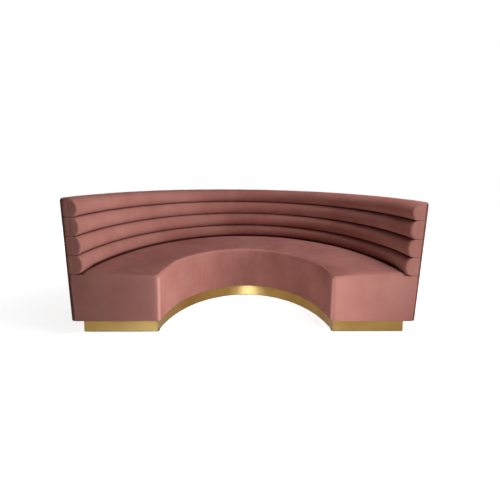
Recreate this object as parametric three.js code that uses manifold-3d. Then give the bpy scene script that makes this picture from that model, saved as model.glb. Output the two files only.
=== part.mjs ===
// A half-round upholstered banquette: a velvet seat and four stacked back rolls on a brass-clad plinth.
// Lengths are in millimetres and +Z is up. The sofa opens towards -Y, and its left end is at -X.
//
// Every curved piece is a section, drawn as radius and height, carried round the half circle along the
// same facets, so that neighbouring pieces stay a constant gap apart. Sections of the back are drawn as
// if it stood upright at the hem's radius. A shape function then leans them outwards.
import * as THREE from "three";
import * as BufferGeometryUtils from "three/addons/utils/BufferGeometryUtils.js";
import Module from "manifold-3d";

const wasm = await Module();
wasm.setup();

// Overall sizes
const totalHeight = 1000;
const topRadius = 1305; // outside of the back at its top edge
const backLean = 50; // how far the outside back leans out between the hem and the top
const frontRadius = 622; // curved front of the seat
const seatHeight = 472; // at the middle of the seat's crown
const hemHeight = 105; // lowest edge of the velvet above the floor
const fitGap = 0.3; // between pieces that lie against each other
const velvetGap = 0.5; // between the velvet and the foam or wadding in it
const cutOverrun = 40; // how far a cutting shape runs past what it cuts

// The arc: facets round the half circle, with the sheets joined at the two third points
const facetCount = 30;
const facetAngle = Math.PI / facetCount;
const middleIndex = facetCount / 2;
const leftJointIndex = facetCount / 3;
const rightJointIndex = facetCount - leftJointIndex;
const halfSheetIndex = leftJointIndex / 2;

// Velvet, padding and foam
const velvetThickness = 1.6;
const seatPaddingThickness = 10;
const seatEdgeRadius = 40; // soft edge between the seat's top and its curved front
const seatCornerRadius = 30; // upright corners of the seat
const seatEndEdgeRadius = 14; // tighter edge between the seat's top and its flat ends
const seatCrown = 4; // how far the seat's top falls towards its front and back edges
const tuckedWidth = 64; // the seat's end edge comes up to full height over this width, under the roll
const hemReturn = 27; // velvet turned under the base
const backWaddingThickness = 5;
const backCornerRadius = 13; // outside corners of the back

// Rolls
const rollCount = 4;
const rollReach = 125; // from the outside of the back to the front of a roll
const grooveDepth = 47;
const seatPress = 16; // how deep the lowest roll sits below the seat's top, where it presses the foam down
const rollClearance = 6; // between the pressed seat and the lowest roll
const rollEndRadius = 10; // edge between a roll's front and its flat end

// Steps of the rounded edges
const seatEdgeSteps = 4;
const seatCornerSteps = 3;
const backCornerSteps = 2;
const rollFrontSteps = 8;
const rollEndSteps = 2;
const seatTopShares = [-0.25, 0.35]; // places on the seat's top, as shares of its half width
const seatPressShares = [0, 0.2, 0.35, 0.6, 1]; // where the roll presses, as shares of the groove's depth
const weldDistance = 0.001; // vertices nearer than this are one

// Plywood, in sheets
const backBoardThickness = 15;
const deckThickness = 18;
const baseThickness = 18;
const ribThickness = 18;
const frontPanelThickness = 12;
const foamThickness = 100;

// Brackets
const bracketLeg = 60;
const bracketThickness = 4;
const bracketWidth = 70;

// Plinth
const plinthFrontInset = 36; // behind the seat's curved front
const plinthBackInset = 58; // inside the outside back's hem
const plinthEndInset = 50;
const railThickness = 18;
const brassThickness = 1.2;
const glideHeight = 4;
const glideRadius = 18;
const glideTaper = 2;
const glideSides = 16;
const dustCoverThickness = 0.8;
const dustCoverInset = 8; // inside the plinth's faces

// Places worked out from the sizes above
const hemRadius = topRadius - backLean;
const backStack = velvetThickness + velvetGap + backWaddingThickness + fitGap + backBoardThickness;
const backInnerRadius = hemRadius - backStack;
const rollBackRadius = backInnerRadius - fitGap;
const rollFrontRadius = hemRadius - rollReach;
const seatRearRadius = backInnerRadius - fitGap;
const seatMiddleRadius = (frontRadius + seatRearRadius) / 2;
const seatHalfWidth = seatMiddleRadius - frontRadius;
const tuckedRadius = rollFrontRadius + tuckedWidth;
const deckTop = seatHeight - velvetThickness - velvetGap - foamThickness - fitGap;
const deckBottom = deckTop - deckThickness;
const baseBottom = hemHeight + velvetThickness + fitGap;
const baseTop = baseBottom + baseThickness;
const foamSkin = velvetThickness + velvetGap; // from a velvet face to the foam in it
const foamRearRadius = seatRearRadius - foamSkin;
const frameSkin = foamSkin + seatPaddingThickness + fitGap; // from the seat's face to its wood
const frameFrontRadius = frontRadius + frameSkin;
const rollBottom = seatHeight - seatPress;
const rollPitch = (totalHeight - rollBottom) / rollCount;
const rollHalfHeight = (rollPitch - fitGap) / 2;
const lowestRollMiddle = rollBottom + rollPitch / 2;
const plinthTop = baseBottom - fitGap;
const dustCoverBottom = glideHeight + fitGap;
const plinthBottom = dustCoverBottom + dustCoverThickness + fitGap;
const plinthFrontRadius = frontRadius + plinthFrontInset;
const plinthBackRadius = hemRadius - plinthBackInset;
const railFrontRadius = plinthFrontRadius + brassThickness + fitGap;
const railBackRadius = plinthBackRadius - brassThickness - fitGap;
const crossFrontRadius = railFrontRadius + railThickness + fitGap;
const crossBackRadius = railBackRadius - railThickness - fitGap;
const railSetback = plinthEndInset + brassThickness + fitGap;

// Materials
const finish = (color, roughness, metalness = 0) =>
  new THREE.MeshStandardMaterial({ color, roughness, metalness });
const velvet = finish(0x9c645a, 0.85);
const brass = finish(0xb08d4a, 0.32, 1);
const plywood = finish(0xc8a878, 0.7);
const foam = finish(0xe6dcc0, 0.95);
const wadding = finish(0xeeeeea, 1);
const steel = finish(0x8a8d90, 0.4, 1);
const nylon = finish(0x26262a, 0.5);
const blackCloth = finish(0x1c1c1e, 0.95);

// The whole sofa sits with its bounding box centred on the origin, and its floor at zero.
const sofa = new THREE.Group();
sofa.position.y = -topRadius / 2;

function addMesh(name, geometry, material) {
  const mesh = new THREE.Mesh(geometry, material);
  mesh.name = name;
  sofa.add(mesh);
  return mesh;
}

/** How far the back leans out at a height. */
function leanAt(height) {
  return (backLean * (height - hemHeight)) / (totalHeight - hemHeight);
}

// A station is a place along the arc. Its index counts facet corners from the left end, and its setback
// is a distance on from that corner, or back from it where negative, along the facet. Its inset says how
// far the section is drawn in there, for a rounded end.
const station = (index, setback = 0, inset = 0) => ({ index, setback, inset });

function placeAt(radius, height, { index, setback }) {
  const angle = Math.PI - index * facetAngle;
  const facet = setback < 0 ? index - 1 : index;
  const heading = Math.PI - (facet + 1 / 2) * facetAngle;
  const along = setback / Math.cos(facetAngle / 2);
  return new THREE.Vector3(
    radius * Math.cos(angle) + along * Math.sin(heading),
    radius * Math.sin(angle) - along * Math.cos(heading),
    height,
  );
}

/** Stations from one corner to another, with a setback at each of the two ends. */
function stationsBetween(first, firstSetback, last, lastSetback) {
  const stations = [station(first, firstSetback)];
  for (let index = first + 1; index < last; index += 1) stations.push(station(index));
  stations.push(station(last, -lastSetback));
  return stations;
}

/** Stations round the whole arc, with both ends set back by a skin and rounded by a radius. */
function roundedStations(skin, radius, steps) {
  const left = [];
  for (let step = 0; step <= steps; step += 1) {
    const turn = ((Math.PI / 2) * step) / steps;
    left.push({
      setback: skin + radius * (1 - Math.cos(turn)),
      inset: radius * (1 - Math.sin(turn)),
    });
  }
  const stations = left.map(({ setback, inset }) => station(0, setback, inset));
  for (let index = 1; index < facetCount; index += 1) stations.push(station(index));
  left.reverse();
  stations.push(...left.map(({ setback, inset }) => station(facetCount, -setback, inset)));
  return stations;
}

/**
 * Carries a section along stations and closes both ends. The shape function turns a point of the section
 * into a radius and a height, given how far the section is drawn in there.
 */
function sweep(section, stations, shape) {
  const outline = section.map(([radius, height]) => new THREE.Vector2(radius, height));
  if (THREE.ShapeUtils.isClockWise(outline)) outline.reverse();
  const rings = stations.map(({ inset }) =>
    outline.map(({ x, y }) => new THREE.Vector2(...shape(x, y, inset))),
  );
  const corners = rings.flatMap((ring, count) => ring.map(({ x, y }) => placeAt(x, y, stations[count])));
  const size = outline.length;
  const triangles = [];
  for (let ring = 0; ring + 1 < rings.length; ring += 1) {
    for (let corner = 0; corner < size; corner += 1) {
      const here = ring * size + corner;
      const beside = ring * size + ((corner + 1) % size);
      triangles.push(here, beside, beside + size, here, beside + size, here + size);
    }
  }
  const start = THREE.ShapeUtils.triangulateShape(rings[0], []);
  const end = THREE.ShapeUtils.triangulateShape(rings.at(-1), []);
  const endOffset = (rings.length - 1) * size;
  triangles.push(...start.flatMap(([a, b, c]) => [c, b, a]));
  triangles.push(...end.flat().map((corner) => corner + endOffset));
  const geometry = new THREE.BufferGeometry().setFromPoints(corners);
  geometry.setIndex(triangles);
  geometry.computeVertexNormals();
  return geometry;
}

/** A rectangle between two distances across the section and two heights. */
const rectangle = (near, far, bottom, top) => [
  [near, bottom],
  [far, bottom],
  [far, top],
  [near, top],
];

function toSolid(geometry) {
  const bare = geometry.clone();
  for (const name of Object.keys(bare.attributes)) {
    if (name !== "position") bare.deleteAttribute(name);
  }
  const merged = BufferGeometryUtils.mergeVertices(bare, weldDistance);
  return new wasm.Manifold(
    new wasm.Mesh({
      numProp: 3,
      vertProperties: Float32Array.from(merged.getAttribute("position").array),
      triVerts: Uint32Array.from(merged.getIndex().array),
    }),
  );
}

function toGeometry(solid) {
  const { vertProperties, triVerts } = solid.getMesh();
  const geometry = new THREE.BufferGeometry();
  geometry.setAttribute("position", new THREE.BufferAttribute(vertProperties, 3));
  geometry.setIndex(new THREE.BufferAttribute(triVerts, 1));
  geometry.computeVertexNormals();
  return geometry;
}

/** Cuts one or more shapes out of another. */
function cut(geometry, ...tools) {
  return toGeometry(tools.reduce((solid, tool) => solid.subtract(toSolid(tool)), toSolid(geometry)));
}

// Shape functions

/** Plinth pieces stand upright and keep their section. */
const uprightShape = (radius, height) => [radius, height];

/** Seat pieces are upright at the front and follow the leaning back at the rear. */
function seatShape(radius, height) {
  const share = (radius - frontRadius) / (seatRearRadius - frontRadius);
  return [radius + share * leanAt(height), height];
}

/** The seat's rounded ends: the front draws in, and the top comes down except under the lowest roll. */
function seatEndShape(radius, height, inset) {
  const drawn = (inset * (seatRearRadius - radius)) / (seatRearRadius - frontRadius);
  const rise = Math.max(height - deckTop, 0) / (seatHeight - deckTop);
  const free = THREE.MathUtils.clamp((tuckedRadius - radius) / tuckedWidth, 0, 1);
  const fall = (inset * seatEndEdgeRadius) / seatCornerRadius;
  const [leaning, lowered] = seatShape(radius, height - fall * rise * free);
  return [leaning + drawn, lowered];
}

/** Pieces of the back lean outwards as a whole. */
const backShape = (radius, height) => [radius + leanAt(height), height];

/** The outside back's rounded ends: the face draws in, and the top and hem edges draw to the middle. */
function backEndShape(radius, height, inset) {
  const middle = (hemHeight + totalHeight) / 2;
  const drawn = backInnerRadius + (radius - backInnerRadius) * (1 - inset / backStack);
  return backShape(drawn, middle + (height - middle) * (1 - inset / (totalHeight - middle)));
}

/** A roll's rounded ends: its front, top and underside draw in towards the middle of its back. */
function rollEndShape(middle) {
  const depth = rollBackRadius - rollFrontRadius;
  return (radius, height, inset) => {
    const drawn = rollBackRadius - (rollBackRadius - radius) * (1 - inset / depth);
    return backShape(drawn, middle + (height - middle) * (1 - inset / (rollPitch / 2)));
  };
}

// Glides, nailed under the rails through the dust cover

const glideGeometry = new THREE.CylinderGeometry(
  glideRadius,
  glideRadius - glideTaper,
  glideHeight,
  glideSides,
);
glideGeometry.rotateX(Math.PI / 2);
const frontGlideIndices = [1, middleIndex, facetCount - 1];
const backGlideIndices = [
  1,
  halfSheetIndex + 1,
  middleIndex,
  facetCount - halfSheetIndex - 1,
  facetCount - 1,
];
const glidePlaces = [
  ...frontGlideIndices.map((index) => [railFrontRadius + railThickness / 2, index]),
  ...backGlideIndices.map((index) => [railBackRadius - railThickness / 2, index]),
];
glidePlaces.forEach(([radius, index], count) => {
  const glide = addMesh(`glide_${count + 1}`, glideGeometry, nylon);
  glide.position.copy(placeAt(radius, glideHeight / 2, station(index)));
});

// Dust cover

addMesh(
  "dust_cover",
  sweep(
    rectangle(
      plinthFrontRadius + dustCoverInset,
      plinthBackRadius - dustCoverInset,
      dustCoverBottom,
      dustCoverBottom + dustCoverThickness,
    ),
    stationsBetween(0, plinthEndInset + dustCoverInset, facetCount, plinthEndInset + dustCoverInset),
    uprightShape,
  ),
  blackCloth,
);

// Plinth: two curved rails, two end rails and five cross ribs, clad in brass sheet

function plinthPiece(name, near, far, stations, material = plywood) {
  addMesh(name, sweep(rectangle(near, far, plinthBottom, plinthTop), stations, uprightShape), material);
}

/** Stations of a flat plate across the arc, centred on a facet corner. */
const plateStations = (index, thickness) => [
  station(index, -thickness / 2),
  station(index),
  station(index, thickness / 2),
];

const railStations = stationsBetween(0, railSetback, facetCount, railSetback);
plinthPiece("plinth_front_rail", railFrontRadius, railFrontRadius + railThickness, railStations);
plinthPiece("plinth_back_rail", railBackRadius - railThickness, railBackRadius, railStations);
plinthPiece("plinth_end_rail_left", crossFrontRadius, crossBackRadius, [
  station(0, railSetback),
  station(0, railSetback + railThickness),
]);
plinthPiece("plinth_end_rail_right", crossFrontRadius, crossBackRadius, [
  station(facetCount, -railSetback - railThickness),
  station(facetCount, -railSetback),
]);

const ribIndices = [
  halfSheetIndex,
  leftJointIndex,
  middleIndex,
  rightJointIndex,
  facetCount - halfSheetIndex,
];
ribIndices.forEach((index, count) => {
  const stations = plateStations(index, ribThickness);
  plinthPiece(`plinth_rib_${count + 1}`, crossFrontRadius, crossBackRadius, stations);
});

plinthPiece("brass_front", plinthFrontRadius, plinthFrontRadius + brassThickness, railStations, brass);
plinthPiece(
  "brass_back_left",
  plinthBackRadius - brassThickness,
  plinthBackRadius,
  stationsBetween(0, railSetback, middleIndex, fitGap / 2),
  brass,
);
plinthPiece(
  "brass_back_right",
  plinthBackRadius - brassThickness,
  plinthBackRadius,
  stationsBetween(middleIndex, fitGap / 2, facetCount, railSetback),
  brass,
);
plinthPiece(
  "brass_end_left",
  plinthFrontRadius,
  plinthBackRadius,
  [station(0, plinthEndInset), station(0, plinthEndInset + brassThickness)],
  brass,
);
plinthPiece(
  "brass_end_right",
  plinthFrontRadius,
  plinthBackRadius,
  [station(facetCount, -plinthEndInset - brassThickness), station(facetCount, -plinthEndInset)],
  brass,
);

// Boards that come in three sheets: the base, the deck and the back shell

/** Adds a left, centre and right sheet of one section, butted at the third points. */
function threeSheets(name, section, endSetback, shape) {
  const joint = fitGap / 2;
  const sheets = {
    left: stationsBetween(0, endSetback, leftJointIndex, joint),
    centre: stationsBetween(leftJointIndex, joint, rightJointIndex, joint),
    right: stationsBetween(rightJointIndex, joint, facetCount, endSetback),
  };
  for (const [side, stations] of Object.entries(sheets)) {
    addMesh(`${name}_${side}`, sweep(section, stations, shape), plywood);
  }
}

const baseSection = rectangle(frameFrontRadius, seatRearRadius, baseBottom, baseTop);
const deckSection = rectangle(frameFrontRadius, foamRearRadius, deckBottom, deckTop);
threeSheets("base_board", baseSection, frameSkin, seatShape);
threeSheets("seat_deck", deckSection, frameSkin, seatShape);

const boardOuterRadius = backInnerRadius + backBoardThickness;
const boardSetback = foamSkin + backWaddingThickness + fitGap;
const boardTop = totalHeight - boardSetback;
const boardBottom = hemHeight + boardSetback;
threeSheets(
  "back_board",
  rectangle(backInnerRadius, boardOuterRadius, boardBottom, boardTop),
  boardSetback,
  backShape,
);

// Seat box: curved front panel, end panels and upright ribs between the base and the deck

const uprightBottom = baseTop + fitGap;
const uprightTop = deckBottom - fitGap;
const panelRearRadius = frameFrontRadius + frontPanelThickness;
const uprightSection = rectangle(panelRearRadius + fitGap, seatRearRadius, uprightBottom, uprightTop);
addMesh(
  "seat_front_panel",
  sweep(
    rectangle(frameFrontRadius, panelRearRadius, uprightBottom, uprightTop),
    stationsBetween(0, frameSkin, facetCount, frameSkin),
    uprightShape,
  ),
  plywood,
);
const endPanelStations = {
  left: [station(0, frameSkin), station(0, frameSkin + ribThickness)],
  right: [station(facetCount, -frameSkin - ribThickness), station(facetCount, -frameSkin)],
};
for (const [side, stations] of Object.entries(endPanelStations)) {
  addMesh(`seat_end_panel_${side}`, sweep(uprightSection, stations, seatShape), plywood);
}
ribIndices.forEach((index, count) => {
  const stations = plateStations(index, ribThickness);
  addMesh(`seat_rib_${count + 1}`, sweep(uprightSection, stations, seatShape), plywood);
});

// Angle brackets under the deck, against the back shell

const bracketTop = deckBottom - fitGap;
const bracketRear = seatRearRadius;
const bracketSection = [
  [bracketRear - bracketLeg, bracketTop],
  [bracketRear - bracketLeg, bracketTop - bracketThickness],
  [bracketRear - bracketThickness, bracketTop - bracketThickness],
  [bracketRear - bracketThickness, bracketTop - bracketLeg],
  [bracketRear, bracketTop - bracketLeg],
  [bracketRear, bracketTop],
];
const facetLength = 2 * bracketRear * Math.sin(facetAngle / 2);
const bracketStart = (facetLength - bracketWidth) / 2;
const bracketFacets = [2, leftJointIndex - 3, middleIndex, rightJointIndex + 2, facetCount - 3];
bracketFacets.forEach((facet, count) => {
  const stations = [station(facet, bracketStart), station(facet, bracketStart + bracketWidth)];
  addMesh(`back_bracket_${count + 1}`, sweep(bracketSection, stations, seatShape), steel);
});

// Seat upholstery

/** The underside of the lowest roll, from the middle of its front down to where it is flat. */
function rollUnderside(radius) {
  const ahead = (rollFrontRadius + grooveDepth - radius) / grooveDepth;
  return lowestRollMiddle - rollHalfHeight * Math.sqrt(1 - THREE.MathUtils.clamp(ahead, 0, 1) ** 2);
}

/** The seat's top: a low crown, pressed down where the lowest roll stands on it. */
function seatTop(radius) {
  const crown = seatHeight - seatCrown * ((radius - seatMiddleRadius) / seatHalfWidth) ** 2;
  return Math.min(crown, rollUnderside(radius) - rollClearance);
}

/** The seat's section a skin inside its face: an upright front, a soft edge and a crowned top. */
function seatSection(skin, bottom, rear) {
  const edge = seatEdgeRadius - skin;
  const edgeTop = seatTop(frontRadius + seatEdgeRadius) - skin;
  const section = [[frontRadius + skin, bottom]];
  for (let step = 0; step <= seatEdgeSteps; step += 1) {
    const turn = ((Math.PI / 2) * step) / seatEdgeSteps;
    section.push([
      frontRadius + skin + edge * (1 - Math.cos(turn)),
      edgeTop - edge * (1 - Math.sin(turn)),
    ]);
  }
  const topRadii = seatTopShares.map((share) => seatMiddleRadius + seatHalfWidth * share);
  const pressRadii = seatPressShares.map((share) => rollFrontRadius + grooveDepth * share);
  for (const radius of [...topRadii, ...pressRadii, tuckedRadius, rear]) {
    section.push([radius, seatTop(radius) - skin]);
  }
  section.push([rear, bottom]);
  return section;
}

const seatOutside = sweep(
  seatSection(0, hemHeight, seatRearRadius),
  roundedStations(0, seatCornerRadius, seatCornerSteps),
  seatEndShape,
);
const seatInside = sweep(
  seatSection(velvetThickness, hemHeight + velvetThickness, seatRearRadius - velvetThickness),
  roundedStations(velvetThickness, seatCornerRadius - velvetThickness, seatCornerSteps),
  seatEndShape,
);
// The hem is turned under the base at the front and the ends.
const hemOpening = sweep(
  rectangle(frontRadius + hemReturn, seatRearRadius - hemReturn, hemHeight - cutOverrun, baseTop),
  stationsBetween(0, hemReturn, facetCount, hemReturn),
  seatShape,
);
// At the rear the velvet is pulled down behind the deck and ends there.
const rearOpening = sweep(
  rectangle(
    seatRearRadius - hemReturn - hemReturn,
    seatRearRadius + cutOverrun,
    hemHeight - cutOverrun,
    deckBottom,
  ),
  stationsBetween(0, frameSkin - fitGap, facetCount, frameSkin - fitGap),
  seatShape,
);
addMesh("seat_cover", cut(seatOutside, seatInside, hemOpening, rearOpening), velvet);

// The foam's corners are cut a little rounder than the velvet over them.
addMesh(
  "seat_foam",
  sweep(
    seatSection(foamSkin, deckTop + fitGap, foamRearRadius),
    roundedStations(foamSkin, seatCornerRadius, seatCornerSteps),
    seatEndShape,
  ),
  foam,
);

const paddingOutside = sweep(
  rectangle(frontRadius + foamSkin, foamRearRadius, baseBottom, deckTop),
  roundedStations(foamSkin, seatCornerRadius - foamSkin, seatCornerSteps),
  seatEndShape,
);
const frameSpace = sweep(
  rectangle(
    frameFrontRadius - fitGap,
    seatRearRadius + cutOverrun,
    baseBottom - cutOverrun,
    deckTop + cutOverrun,
  ),
  stationsBetween(0, frameSkin - fitGap, facetCount, frameSkin - fitGap),
  seatShape,
);
addMesh("seat_padding", cut(paddingOutside, frameSpace), foam);

// Outside back: a velvet tray round the wadding and the back shell

const trayOutside = sweep(
  rectangle(backInnerRadius, hemRadius, hemHeight, totalHeight),
  roundedStations(0, backCornerRadius, backCornerSteps),
  backEndShape,
);
const trayInside = sweep(
  rectangle(
    backInnerRadius - cutOverrun,
    hemRadius - velvetThickness,
    hemHeight + velvetThickness,
    totalHeight - velvetThickness,
  ),
  roundedStations(velvetThickness, backCornerRadius - velvetThickness, backCornerSteps),
  backEndShape,
);
addMesh("outside_back_cover", cut(trayOutside, trayInside), velvet);

const waddingOutside = sweep(
  rectangle(backInnerRadius, hemRadius - foamSkin, baseBottom, totalHeight - foamSkin),
  roundedStations(foamSkin, backCornerRadius - foamSkin, backCornerSteps),
  backEndShape,
);
const boardSpace = sweep(
  rectangle(
    backInnerRadius - cutOverrun,
    boardOuterRadius + fitGap,
    boardBottom - fitGap,
    boardTop + fitGap,
  ),
  stationsBetween(0, boardSetback - fitGap, facetCount, boardSetback - fitGap),
  backShape,
);
addMesh("back_wadding", cut(waddingOutside, boardSpace), wadding);

// Rolls, numbered from the lowest up: a foam core and a velvet cover that is open towards the back shell

/** A roll's section a skin inside its face: flat top and underside, and a half-ellipse front. */
function rollSection(middle, skin, back) {
  const halfHeight = rollHalfHeight - skin;
  const section = [[back, middle + halfHeight]];
  for (let step = 0; step <= rollFrontSteps; step += 1) {
    const turn = Math.PI * (1 / 2 - step / rollFrontSteps);
    section.push([
      rollFrontRadius + grooveDepth - (grooveDepth - skin) * Math.cos(turn),
      middle + halfHeight * Math.sin(turn),
    ]);
  }
  section.push([back, middle - halfHeight]);
  return section;
}

/** One skin of a roll, swept round the arc with its rounded ends. */
function rollForm(middle, skin, back) {
  return sweep(
    rollSection(middle, skin, back),
    roundedStations(skin, rollEndRadius - skin, rollEndSteps),
    rollEndShape(middle),
  );
}

for (let roll = 1; roll <= rollCount; roll += 1) {
  const middle = lowestRollMiddle + rollPitch * (roll - 1);
  const outside = rollForm(middle, 0, rollBackRadius);
  const inside = rollForm(middle, velvetThickness, rollBackRadius + cutOverrun);
  addMesh(`roll_cover_${roll}`, cut(outside, inside), velvet);
  addMesh(`roll_foam_${roll}`, rollForm(middle, foamSkin, rollBackRadius), foam);
}

export default sofa;
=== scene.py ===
# %% [markdown]
# # A half-round velvet banquette on a brass plinth
#
# This file dresses a finished frame. The wooden box, the plinth and their sizes come from the frame, and
# each cell below adds one thing that the eye sees: the four rolls of the back, the seat, the outside back,
# the brass, the underside, the floor and the light. Everything is in metres, with +Z up and the open side
# of the sofa towards -Y.

# %% Load the frame
import math

import bmesh
import bpy
from mathutils import Matrix, Vector
from mathutils import noise as noise_library


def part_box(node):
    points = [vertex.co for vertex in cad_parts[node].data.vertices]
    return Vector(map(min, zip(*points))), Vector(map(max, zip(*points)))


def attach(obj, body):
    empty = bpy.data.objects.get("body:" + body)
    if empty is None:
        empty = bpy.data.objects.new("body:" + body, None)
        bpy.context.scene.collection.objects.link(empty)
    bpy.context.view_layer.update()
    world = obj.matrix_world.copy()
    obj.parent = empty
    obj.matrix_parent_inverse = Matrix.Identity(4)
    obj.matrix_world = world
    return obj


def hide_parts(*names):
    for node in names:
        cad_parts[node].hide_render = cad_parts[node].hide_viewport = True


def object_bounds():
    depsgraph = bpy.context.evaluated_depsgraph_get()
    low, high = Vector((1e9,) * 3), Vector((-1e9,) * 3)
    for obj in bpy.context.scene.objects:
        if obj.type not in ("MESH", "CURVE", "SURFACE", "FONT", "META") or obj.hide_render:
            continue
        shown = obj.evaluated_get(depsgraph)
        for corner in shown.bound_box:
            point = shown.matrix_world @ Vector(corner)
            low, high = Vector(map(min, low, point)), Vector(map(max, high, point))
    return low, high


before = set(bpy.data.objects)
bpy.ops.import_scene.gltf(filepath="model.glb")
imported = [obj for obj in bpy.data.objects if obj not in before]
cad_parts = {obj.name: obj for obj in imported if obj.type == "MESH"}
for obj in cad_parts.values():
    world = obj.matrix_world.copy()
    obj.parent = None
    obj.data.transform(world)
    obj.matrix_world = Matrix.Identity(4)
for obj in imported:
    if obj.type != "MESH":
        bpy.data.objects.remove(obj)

scene = bpy.context.scene
cad_low, cad_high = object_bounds()
print("frame box", [round(value, 4) for value in (*cad_low, *cad_high)])

# %% [markdown]
# ## The camera
#
# The photograph was taken from in front, a little above the back's top edge, with a short lens. A camera
# could be tried by eye until the picture fits. Here its place and its three small turns were worked out
# from straight and round edges that show in the photograph, so they are written as they were found. The
# lens is shifted down a little, because the photograph is a crop from the lower part of a larger one.

# %% Camera
camera_place = Vector((-0.0153, -2.4881, 1.1770))
camera_yaw = 0.0269
camera_pitch = 0.0852
camera_roll = 0.0148
camera_lens = 18.931
camera_shift = (-0.0054, -0.1058)


def camera_axes(yaw, pitch, roll):
    """The camera's right, up and backward directions."""
    ahead = Vector((math.sin(yaw) * math.cos(pitch), math.cos(yaw) * math.cos(pitch), -math.sin(pitch)))
    level = Vector((math.cos(yaw), -math.sin(yaw), 0))
    upright = level.cross(ahead)
    right = math.cos(roll) * level + math.sin(roll) * upright
    up = math.cos(roll) * upright - math.sin(roll) * level
    return right, up, -ahead


camera_data = bpy.data.cameras.new("camera")
camera_data.lens = camera_lens
camera_data.shift_x, camera_data.shift_y = camera_shift
camera = bpy.data.objects.new("camera", camera_data)
scene.collection.objects.link(camera)
turn = Matrix(camera_axes(camera_yaw, camera_pitch, camera_roll)).transposed()
camera.matrix_world = Matrix.Translation(camera_place) @ turn.to_4x4()
scene.camera = camera
print("camera at", [round(value, 3) for value in camera_place])

# %% [markdown]
# ## Sizes
#
# The overall sizes are read from the frame, so that the covers always fit the wood. A box can't tell how
# deep a groove is or how soft an edge is, so those sizes are named here.

# %% Sizes
arc_centre = Vector((0, cad_low.y, 0))
total_height = cad_high.z
top_radius = cad_high.y - cad_low.y
seat_low, seat_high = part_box("seat_cover")
hem_height = seat_low.z
seat_height = seat_high.z
back_lean = 0.050
hem_radius = top_radius - back_lean
front_radius = 0.622
fit_gap = 0.0003

back_stack = 0.0224  # velvet, wadding and the curved back board together
back_inner_radius = hem_radius - back_stack
seat_rear_radius = back_inner_radius - fit_gap
print("seat", round(hem_height, 3), "to", round(seat_height, 3), "back", round(hem_radius, 3))


def lean_at(height):
    """How far the back leans out at a height."""
    return back_lean * (height - hem_height) / (total_height - hem_height)


# %% [markdown]
# ## Carrying a section round the half circle
#
# Every curved piece of such a sofa has the same section all the way round. It could be drawn as a curve
# with a bevel object, but the ends would then be cut off flat. Here a flat face is the section, and a spin
# carries it round. The spin leaves radial stations, which are then settled: the first few lie parallel to
# the sofa's flat end, so that the end can be rounded, and the rest share out what is left of the arc.

# %% Spin and settle
def section_point(radius, height):
    """A point of a section at the left end of the arc."""
    return arc_centre + Vector((-radius, 0, height))


def section_face(bm, corners):
    """A flat face from a few corners, given as radius and height."""
    verts = [bm.verts.new(section_point(radius, height)) for radius, height in corners]
    return bm.faces.new(verts)


def vert_at(bm, radius, height):
    """The vertex nearest to a point of the section."""
    place = section_point(radius, height)
    return min(bm.verts, key=lambda vert: (vert.co - place).length_squared)


def bevel(bm, geom, size, segments, affect):
    """Rounds corners or edges."""
    bmesh.ops.bevel(
        bm,
        geom=geom,
        offset=size,
        offset_type="OFFSET",
        segments=segments,
        profile=0.5,
        affect=affect,
        material=-1,
    )


def round_corner(bm, radius, height, size, segments):
    """Rounds one corner of a section face."""
    bevel(bm, [vert_at(bm, radius, height)], size, segments, "VERTICES")


def divide_long_edges(bm, longest):
    """Divides the edges of a section that are longer than a length."""
    for edge in list(bm.edges):
        cuts = math.ceil(edge.calc_length() / longest) - 1
        if cuts > 0:
            bmesh.ops.subdivide_edges(bm, edges=[edge], cuts=cuts)


def spin_section(bm, steps):
    """Carries the section round the half circle from the left end to the right one."""
    geom = [*bm.verts, *bm.edges, *bm.faces]
    bmesh.ops.spin(
        bm, geom=geom, cent=arc_centre, axis=(0, 0, 1), angle=-math.pi, steps=steps, use_merge=False
    )
    bmesh.ops.recalc_face_normals(bm, faces=bm.faces)


def station_of(vert, steps):
    """Which station of the spin a vertex belongs to, counted from the left end."""
    x, y = vert.co.x, vert.co.y - arc_centre.y
    return round((math.atan2(x, y) + math.pi / 2) / (math.pi / steps))


def rounded_end(radius, segments, setback=0.0):
    """Pairs of depth and inset for the stations of a rounded end."""
    turns = [math.pi / 2 * step / segments for step in range(segments + 1)]
    return [(setback + radius * (1 - math.cos(turn)), radius * (1 - math.sin(turn))) for turn in turns]


def settle(bm, steps, end, shape):
    """Moves the stations to their places, and shapes the section at each of them."""
    last = len(end) - 1
    middle = steps / 2
    for vert in bm.verts:
        index = station_of(vert, steps)
        count = min(index, steps - index)
        depth, inset = end[min(count, last)]
        flat_radius = math.hypot(vert.co.x, vert.co.y - arc_centre.y)
        radius, height = shape(flat_radius, vert.co.z, inset)
        end_turn = math.asin(depth / radius)
        if count > last:
            end_turn += (math.pi / 2 - end_turn) * (count - last) / (middle - last)
        side = 1 if index > middle else -1
        across = side * radius * math.cos(end_turn)
        vert.co = arc_centre + Vector((across, radius * math.sin(end_turn), height))


# %% Make a piece of a mesh
def add_piece(bm, name, material, nodes, sharp_angle=None):
    """Turns a bmesh into an object that rides on the sofa and stands for CAD nodes."""
    mesh = bpy.data.meshes.new(name)
    bm.normal_update()
    bm.to_mesh(mesh)
    bm.free()
    mesh.materials.append(material)
    mesh.shade_smooth()
    if sharp_angle is not None:
        mesh.set_sharp_from_angle(angle=sharp_angle)
    piece = bpy.data.objects.new(name, mesh)
    scene.collection.objects.link(piece)
    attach(piece, "root")
    if nodes:
        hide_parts(*nodes)
    print(name, len(mesh.vertices), "vertices")
    return piece


# %% [markdown]
# ## Patterns that follow the arc
#
# Velvet pile, brushed brass and the grain of bent plywood all run along the curve. A UV map could carry
# them, but a piece that is remeshed or bevelled loses it. Here each material bends the object's own
# coordinates into arc coordinates instead: the way along the arc, the radius and the height, in metres.

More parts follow.
